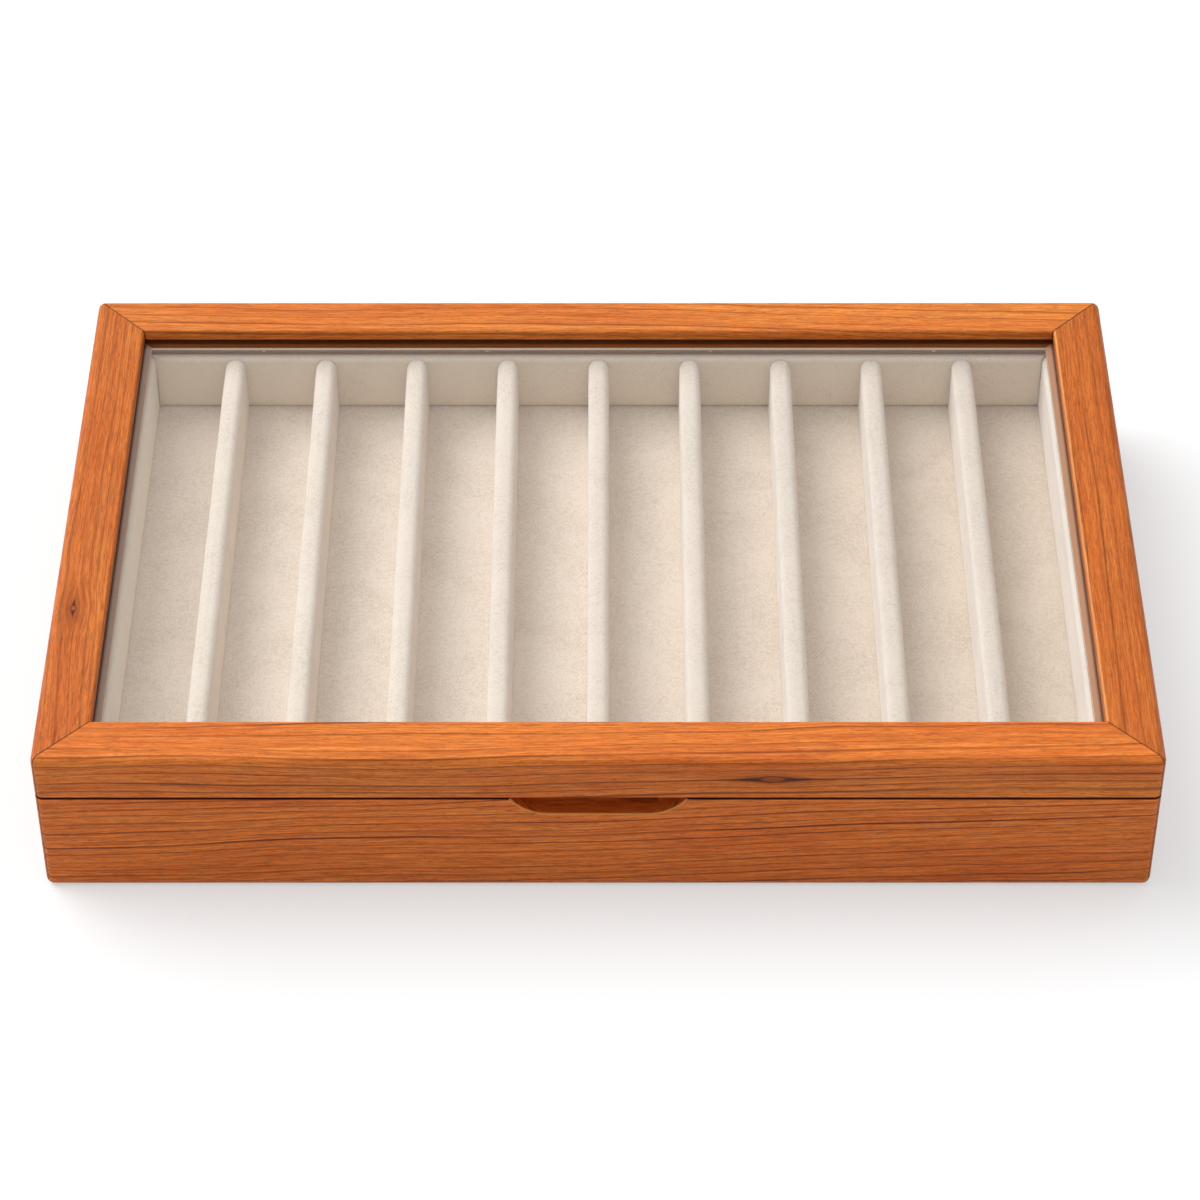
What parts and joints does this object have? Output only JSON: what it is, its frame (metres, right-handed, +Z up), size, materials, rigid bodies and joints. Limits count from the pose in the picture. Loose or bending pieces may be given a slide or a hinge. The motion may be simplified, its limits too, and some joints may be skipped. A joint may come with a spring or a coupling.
{
  "type": "jewelry box",
  "caption": "Flat wooden jewelry box with a hinged glass lid over a row of long suede-lined compartments, and a finger notch for lifting the lid.",
  "frame": {"origin": "centre of the box's footprint, on the surface that it stands on", "axes": "+X to the right along the box's length, seen from the front, +Y towards the hinges at the back, +Z up"},
  "size_m": [0.36, 0.233, 0.0583],
  "materials": {
    "cherry": "satin oiled cherry, reddish orange",
    "spline_wood": "plain hardwood, unfinished",
    "plywood": "plain birch plywood",
    "fibreboard": "plain fibreboard",
    "suede": "short-napped cream suede",
    "felt": "dark brown felt",
    "glass": "clear float glass, polished edge",
    "brass": "satin solid brass",
    "steel": "bright drawn wire"
  },
  "bodies": {
    "case": {"case_front_wall": "cherry", "case_back_wall": "cherry", "case_left_wall": "cherry", "case_right_wall": "cherry", "case_bottom_panel": "plywood", "case_corner_splines": "spline_wood", "underside_felt": "felt", "floor_battens": "fibreboard", "floor_board": "fibreboard", "floor_suede": "suede", "liner_board_front": "fibreboard", "liner_board_right": "fibreboard", "liner_board_back": "fibreboard", "liner_board_left": "fibreboard", "liner_suede_front": "suede", "liner_suede_right": "suede", "liner_suede_back": "suede", "liner_suede_left": "suede", "divider_core_1": "fibreboard", "divider_core_2": "fibreboard", "divider_core_3": "fibreboard", "divider_core_4": "fibreboard", "divider_core_5": "fibreboard", "divider_core_6": "fibreboard", "divider_core_7": "fibreboard", "divider_core_8": "fibreboard", "divider_core_9": "fibreboard", "divider_cover_1": "suede", "divider_cover_2": "suede", "divider_cover_3": "suede", "divider_cover_4": "suede", "divider_cover_5": "suede", "divider_cover_6": "suede", "divider_cover_7": "suede", "divider_cover_8": "suede", "divider_cover_9": "suede", "left_hinge_case_leaf": "brass", "right_hinge_case_leaf": "brass", "left_hinge_pin": "steel", "right_hinge_pin": "steel", "case_hinge_screws": "brass"},
    "lid": {"lid_front_rail": "cherry", "lid_back_rail": "cherry", "lid_left_stile": "cherry", "lid_right_stile": "cherry", "lid_corner_splines": "spline_wood", "glass_pane": "glass", "glass_bead_front": "cherry", "glass_bead_right": "cherry", "glass_bead_back": "cherry", "glass_bead_left": "cherry", "bead_brads": "steel", "left_hinge_lid_leaf": "brass", "right_hinge_lid_leaf": "brass", "lid_hinge_screws": "brass"}
  },
  "joints": [
    {"name": "lid_hinge", "type": "hinge", "parent": "case", "child": "lid", "pos_m": [0, 0.1139, 0.041], "axis": [-1, 0, 0], "range_deg": [0, 95]}
  ]
}
